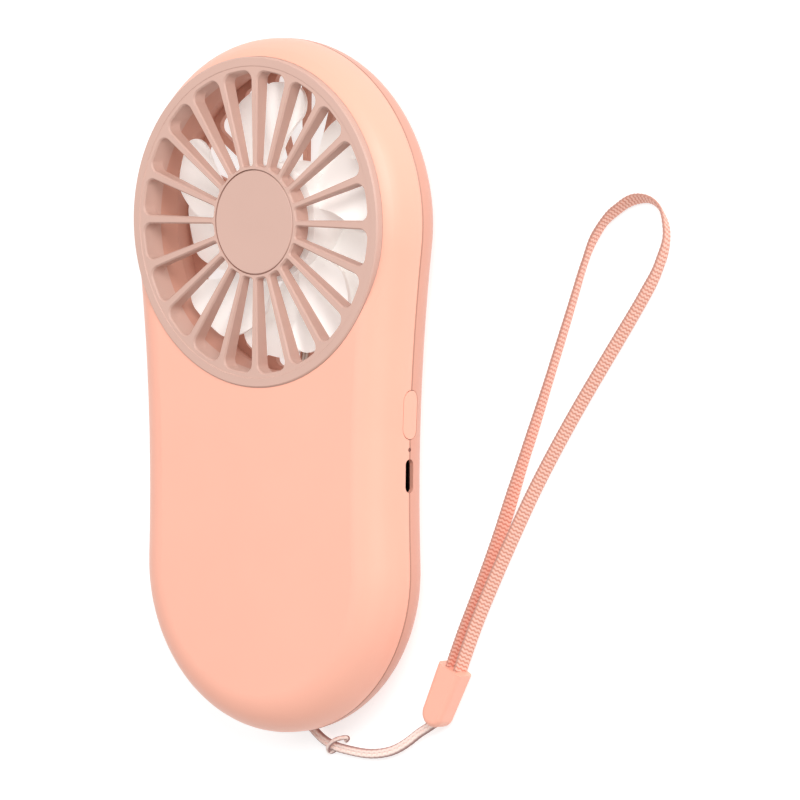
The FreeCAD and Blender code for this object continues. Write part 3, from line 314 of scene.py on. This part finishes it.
MATERIALS = {
    "shell_plastic": moulded_plastic(
        "shell soft-touch", CORAL, 0.42, cloud=0.012, specular=0.45, sheen=0.08,
    ),
    "button_plastic": moulded_plastic("button soft-touch", CORAL, 0.4, cloud=0.012, specular=0.45),
    "grille_plastic": moulded_plastic(
        "grille satin", DUSTY, 0.5, grain=2600, relief=0.08, cloud=0.02,
    ),
    # The blades get a faint emission: painted light, for the light their thin white plastic lets
    # through.
    "blade_plastic": moulded_plastic(
        "blade satin", OFF_WHITE, 0.4, relief=0.03, cloud=0.015, painted_glow=0.16,
    ),
    "clasp_plastic": moulded_plastic("clasp satin", srgb(250, 182, 160), 0.4, relief=0.04),
    "dark_plastic": moulded_plastic("black resin", srgb(34, 33, 34), 0.5, relief=0.12, cloud=0.15),
    # The LED lens is dark brown as painted shade, for the shade in its hole.
    "led_lens": moulded_plastic("dark lens painted shade", srgb(120, 70, 58), 0.16, relief=0.01),
    "screw_steel": metal("zinc plate", srgb(190, 190, 192), 0.3),
    "motor_steel": metal("drawn steel", srgb(198, 198, 200), 0.26, (1, 1, 0.08)),
    # The socket steel is darkened as painted shade, for the shaded inside of the socket's slot.
    "socket_steel": metal("darkened steel painted shade", srgb(62, 50, 46), 0.34, (0.1, 1, 1)),
    "bronze": metal("sintered bronze", srgb(190, 140, 84), 0.4, grain=2400),
    "copper": metal("lacquered core", srgb(178, 104, 70), 0.35, (1, 1, 12)),
    "magnet": moulded_plastic("ferrite", srgb(52, 52, 56), 0.62, relief=0.2, cloud=0.2),
    "board_green": circuit("solder mask", srgb(26, 92, 58), srgb(90, 140, 84)),
    "foam": foam("foam", srgb(54, 54, 58)),
    "battery_foil": metal("pouch foil", srgb(206, 207, 210), 0.34, (1, 0.2, 1), 300),
    "wire_jacket": two_wires("wire insulation", srgb(176, 62, 52), srgb(222, 214, 206)),
    # Yarn colours: the pale yarn, painted shade between the yarns, and painted shade along the edges
    # and sides.
    "lanyard_fabric": thread(
        "cord yarn", srgb(255, 234, 224), srgb(246, 212, 202), srgb(160, 116, 110),
    ),
    "strap_fabric": thread(
        "strap yarn", srgb(252, 202, 184), srgb(222, 146, 124), srgb(190, 138, 124),
    ),
}


def paint(thing, slot_name):
    """Give a piece the material of its slot."""
    thing.data.materials.clear()
    thing.data.materials.append(MATERIALS[slot_name])


for subpart in frame["record"]["subparts"]:
    paint(NODES[subpart["node"]], subpart["material_slot"])
# The air duct and rear grille are a little deeper in colour than the grille in front of them, as
# painted shade inside the duct.
duct_painted_shade_plastic = moulded_plastic("duct satin", DUCT_PAINTED_SHADE, 0.55, grain=2600, relief=0.08, cloud=0.02)
for name in ("duct_sleeve", "rear_grille"):
    NODES[name].data.materials[0] = duct_painted_shade_plastic
# The rear shell is given a slightly deeper colour than the front one as painted shade, for its darker
# look, and a thin line of painted shade runs along the joint between them.
PARTING_HEIGHT = 8.2 * MM
PAINTED_SEAM_WIDTH = 0.3 * MM
REAR_PAINTED_SHADE = 0.75
NODES["rear_shell"].data.materials[0] = moulded_plastic(
    "rear shell soft-touch", shade(CORAL, REAR_PAINTED_SHADE), 0.42, cloud=0.012, specular=0.45, sheen=0.08,
    shade_seam_height=PARTING_HEIGHT - PAINTED_SEAM_WIDTH,
)

# ---------------------------------------------------------------- lanyard

# Routes are in millimetres, along the middle of the cord or of the strap's lower edge.
CORD_ROUTE = [
    (0.2, -71.2, 2.9),
    (0.7, -73.1, 2.1),
    (2.0, -75.0, 1.3),
    (4.6, -77.0, 1.1),
    (8.0, -78.3, 1.1),
    (12.4, -78.9, 1.1),
    (17.0, -79.3, 1.1),
    (21.2, -79.0, 1.1),
    (25.3, -78.0, 1.1),
    (29.0, -76.1, 1.1),
    (32.2, -73.9, 1.1),
    (34.8, -72.7, 1.5),
    (37.6, -71.3, 2.0),
]
# Over the two strands of the cord, where they pull through their own bight.
HITCH_ROUTE = [
    (10.6, -76.9, 0.6),
    (11.7, -76.2, 0.7),
    (11.2, -76.0, 1.6),
    (9.2, -76.6, 2.8),
    (7.2, -78.1, 2.6),
    (6.1, -79.4, 1.2),
    (6.6, -79.6, 0.6),
    (7.6, -79.0, 0.6),
]
STRAP_ROUTE = [
    (42.2, -59.9),
    (45.6, -52.0),
    (49.5, -44.3),
    (53.4, -36.1),
    (57.3, -27.2),
    (61.0, -17.6),
    (65.0, -8.2),
    (69.0, 1.6),
    (72.9, 11.4),
    (76.5, 20.6),
    (79.4, 28.4),
    (82.9, 35.2),
    (88.0, 39.7),
    (94.2, 42.6),
    (99.6, 41.4),
    (102.5, 35.6),
    (100.6, 29.2),
    (97.0, 23.2),
    (91.6, 15.9),
    (85.0, 7.2),
    (78.1, -2.0),
    (71.6, -11.2),
    (65.4, -20.6),
    (59.8, -30.2),
    (54.6, -39.4),
    (50.2, -47.6),
    (47.2, -54.0),
    (44.2, -60.9),
]
CORD_STEP = 0.12
STRAND_RADIUS = 0.62
STRAND_OFFSET = 0.43
BIGHT_RADIUS = 0.5
STRAP_WIDTH = 4.0
STRAP_THICKNESS = 0.8
STRAP_STEP = 0.13
STRAP_LIFT = 0.05
# The strap's ribs: how far apart, how slanted and how deep, and the rows of yarn across them.
RIB_PITCH = 0.92
RIB_SLANT = 0.34
RIB_RELIEF = 0.08
ROW_COUNT = 3
ROW_SHIFT = 0.8
# The strap's section: points across one face, how square it is, and how thick its edges are.
ACROSS_COUNT = 28
SQUARENESS = 6
EDGE_THICKNESS = 0.12
# Where across the strap the painted shade along its edges starts.
EDGE_SHADE_START = 0.82
ROUTE_ORDER = 3
ROUTE_RESOLUTION = 24
# How far the strap leans from upright, in degrees to the left of its run, along its length.
STRAP_LEAN = [
    (0.0, 12), (0.08, 13), (0.15, 10), (0.22, -3), (0.3, -13), (0.4, -20), (0.43, -8), (0.46, 10),
    (0.485, 27), (0.512, 35), (0.53, 22), (0.56, 6), (0.59, -6), (0.65, -11), (0.9, -12), (1.0, -8),
]


def smooth_route(points, step):
    """Points a step apart along the NURBS line that has these points as its control points."""
    curve = bpy.data.curves.new("route", "CURVE")
    curve.dimensions = "3D"
    spline = curve.splines.new("NURBS")
    spline.points.add(len(points) - 1)
    for control, point in zip(spline.points, points):
        control.co = (*(value * MM for value in point), 1)
    spline.order_u = ROUTE_ORDER
    spline.use_endpoint_u = True
    curve.resolution_u = ROUTE_RESOLUTION
    holder = bpy.data.objects.new("route", curve)
    bpy.context.scene.collection.objects.link(holder)
    bpy.context.view_layer.update()
    line = bpy.data.meshes.new_from_object(holder)
    fine = [vertex.co.copy() for vertex in line.vertices]
    bpy.data.objects.remove(holder)
    bpy.data.curves.remove(curve)
    bpy.data.meshes.remove(line)
    lengths = [0.0]
    for before, after in zip(fine, fine[1:]):
        lengths.append(lengths[-1] + (after - before).length)
    count = max(2, round(lengths[-1] / (step * MM)))
    even, index = [], 0
    for number in range(count + 1):
        wanted = lengths[-1] * number / count
        while index < len(fine) - 2 and lengths[index + 1] < wanted:
            index += 1
        part = (wanted - lengths[index]) / max(lengths[index + 1] - lengths[index], 1e-12)
        even.append(fine[index].lerp(fine[index + 1], part))
    return even, lengths[-1]


def directions(line):
    """The direction of the line at each of its points."""
    ends = zip([line[0]] + line[:-1], line[1:] + [line[-1]])
    return [(after - before).normalized() for before, after in ends]


def sweep(name, line, ring_at):
    """A closed tube through the rings of points that ring_at gives for each point of the line."""
    mesh = bmesh.new()
    weave = mesh.verts.layers.float.new("weave")
    edge_shade = mesh.verts.layers.float.new("edge_shade")
    rings = []
    for index in range(len(line)):
        ring = []
        for point, height, edge in ring_at(index):
            vertex = mesh.verts.new(point)
            vertex[weave] = height
            vertex[edge_shade] = edge
            ring.append(vertex)
        rings.append(ring)
    for first, second in zip(rings, rings[1:]):
        for side in range(len(first)):
            after = (side + 1) % len(first)
            mesh.faces.new((first[side], first[after], second[after], second[side]))
    mesh.faces.new(reversed(rings[0]))
    mesh.faces.new(rings[-1])
    bmesh.ops.recalc_face_normals(mesh, faces=mesh.faces)
    data = bpy.data.meshes.new(name)
    mesh.to_mesh(data)
    mesh.free()
    for face in data.polygons:
        face.use_smooth = True
    thing = bpy.data.objects.new(name, data)
    bpy.context.scene.collection.objects.link(thing)
    return thing


def soft_step(value, low, high):
    """0 below low, 1 above high, smooth between."""
    part = min(1.0, max(0.0, (value - low) / (high - low)))
    return part * part * (3 - 2 * part)


def braided_strand(name, line, radius, offset, sides=24, pitch=1.5, carriers=6, relief=0.03):
    """One round braided cord, beside a line, with yarns that cross in diamonds and painted shade on
    its sides.
    """
    ways = directions(line)
    step = (line[1] - line[0]).length / MM

    def ring_at(index):
        along = ways[index]
        across = Vector((0, 0, 1)).cross(along).normalized()
        over = along.cross(across)
        centre = line[index] + across * (offset * MM)
        run = 2 * math.pi * index * step / pitch
        ring = []
        for side in range(sides):
            angle = 2 * math.pi * side / sides
            left = math.cos(run + carriers / 2 * angle)
            right = math.cos(run - carriers / 2 * angle)
            height = max(left, right) * 0.5 + 0.5
            reach = (radius - relief + relief * height) * MM
            out = across * math.cos(angle) + over * math.sin(angle)
            # How far out to the side a point lies, for painted shade on the strands' sides.
            beside = abs(offset + radius * math.cos(angle)) / (radius + abs(offset))
            ring.append((centre + out * reach, height, soft_step(beside, 0.5, 0.95)))
        return ring

    return sweep(name, line, ring_at)


def join(name, pieces):
    """One object from several."""
    with bpy.context.temp_override(active_object=pieces[0], selected_editable_objects=pieces):
        bpy.ops.object.join()
    pieces[0].name = name
    pieces[0].data.name = name
    return pieces[0]


def make_cord():
    """Two thin braided strands from the eye to the clasp, and the hitch over them."""
    line, length = smooth_route(CORD_ROUTE, CORD_STEP)
    strands = [
        braided_strand(f"strand_{side}", line, STRAND_RADIUS, side * STRAND_OFFSET)
        for side in (-1, 1)
    ]
    cord = join("lanyard_strands", strands)
    hitch_line, _ = smooth_route(HITCH_ROUTE, CORD_STEP)
    hitch = braided_strand("lanyard_hitch", hitch_line, BIGHT_RADIUS, 0.0)
    for piece in (cord, hitch):
        paint(piece, "lanyard_fabric")
        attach(piece, "casing")
    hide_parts("lanyard_cord")


def lean_at(part):
    """The strap's lean at a part of its length, in radians."""
    for (start, first), (end, last) in zip(STRAP_LEAN, STRAP_LEAN[1:]):
        if part <= end:
            blend = (part - start) / (end - start)
            blend = blend * blend * (3 - 2 * blend)
            return math.radians(first + (last - first) * blend)
    return math.radians(STRAP_LEAN[-1][1])


def make_strap():
    """A flat woven band that stands on its edge and leans, with slanting yarns on both faces."""
    line, length = smooth_route([(x, y, 0) for x, y in STRAP_ROUTE], STRAP_STEP)
    ways = directions(line)
    step = (line[1] - line[0]).length / MM
    half_width, half_thick = STRAP_WIDTH / 2, STRAP_THICKNESS / 2
    spots = [-1 + 2 * number / ACROSS_COUNT for number in range(ACROSS_COUNT + 1)]
    outline = [(spot, 1) for spot in spots] + [(spot, -1) for spot in reversed(spots)]

    def ring_at(index):
        along = ways[index]
        sideways = Vector((-along.y, along.x, 0)).normalized()
        lean = lean_at(index / (len(line) - 1))
        wide = Vector((0, 0, 1)) * math.cos(lean) + sideways * math.sin(lean)
        thick = sideways * math.cos(lean) - Vector((0, 0, 1)) * math.sin(lean)
        lift = half_width * math.cos(lean) + half_thick * abs(math.sin(lean)) + STRAP_LIFT
        centre = line[index] + Vector((0, 0, lift * MM))
        run = index * step
        ring = []
        for spot, face in outline:
            place = spot * half_width
            turns = (run + face * place * RIB_SLANT) / RIB_PITCH
            row = ROW_SHIFT * math.sin(math.pi * ROW_COUNT * spot)
            rib = 0.5 + 0.5 * math.cos(2 * math.pi * turns + row)
            body = math.sqrt(max(0.0, 1 - abs(spot) ** SQUARENESS))
            thickness = EDGE_THICKNESS + (1 - EDGE_THICKNESS) * body
            deep = thickness * half_thick - RIB_RELIEF * (1 - rib) * body
            reach = place - spot * RIB_RELIEF * (1 - rib)
            ring.append((
                centre + wide * (reach * MM) + thick * (face * deep * MM),
                rib,
                # Painted shade along the strap's edges.
                soft_step(abs(spot), EDGE_SHADE_START, 1.0),
            ))
        return ring

    strap = sweep("wrist_strap_woven", line, ring_at)
    paint(strap, "strap_fabric")
    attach(strap, "casing")
    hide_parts("wrist_strap")


make_cord()
make_strap()

# ---------------------------------------------------------------- floor and light

FLOOR_REACH = 3.0
FLOOR_DROP = 0.2 * MM
FLOOR_DARK = (0.5, 0.5, 0.5, 1)
FLOOR_LIGHT = (0.54, 0.54, 0.54, 1)
FLOOR_GLOW = 0.62
WHITE = (1, 1, 1, 1)
WORLD_STRENGTH = 0.45
# Soft boxes: name, place, diameter and power.
LAMPS = [
    ("key", (0.8, 0.5, 0.75), 0.7, 10),
    ("fill", (-0.4, 0.3, 1.1), 0.9, 5),
]


def make_floor():
    """A pale table top, a little self-lit, as a product photographer's light table."""
    data = bpy.data.meshes.new("floor")
    corners = [(x * FLOOR_REACH, y * FLOOR_REACH, 0) for x, y in ((-1, -1), (1, -1), (1, 1), (-1, 1))]
    data.from_pydata(corners, [], [(0, 1, 2, 3)])
    floor = bpy.data.objects.new("floor", data)
    bpy.context.scene.collection.objects.link(floor)
    nodes = Nodes("floor white")
    haze = nodes.noise(nodes.position(), 3, 2)
    tint = nodes.ramp(haze, [(0.3, FLOOR_DARK), (0.7, FLOOR_LIGHT)])
    nodes.link(tint, nodes.shader.inputs["Base Color"])
    nodes.set(Roughness=0.8, Specular_IOR_Level=0.1)
    nodes.set(Emission_Color=WHITE, Emission_Strength=FLOOR_GLOW)
    data.materials.append(nodes.material)
    floor.location.z = -FLOOR_DROP


def area_light(name, place, size, power):
    """A round soft box aimed at the fan's middle."""
    data = bpy.data.lights.new(name, "AREA")
    data.shape = "DISK"
    data.size = size
    data.energy = power
    lamp = bpy.data.objects.new(name, data)
    lamp.location = place
    lamp.rotation_euler = (-Vector(place)).to_track_quat("-Z", "Y").to_euler()
    bpy.context.scene.collection.objects.link(lamp)


def make_world():
    """Even white light from all round."""
    world = bpy.data.worlds.new("studio")
    world.use_nodes = True
    background = world.node_tree.nodes["Background"]
    background.inputs["Color"].default_value = WHITE
    background.inputs["Strength"].default_value = WORLD_STRENGTH
    bpy.context.scene.world = world


make_floor()
make_world()
for lamp in LAMPS:
    area_light(*lamp)
bpy.context.scene.view_settings.view_transform = "Standard"
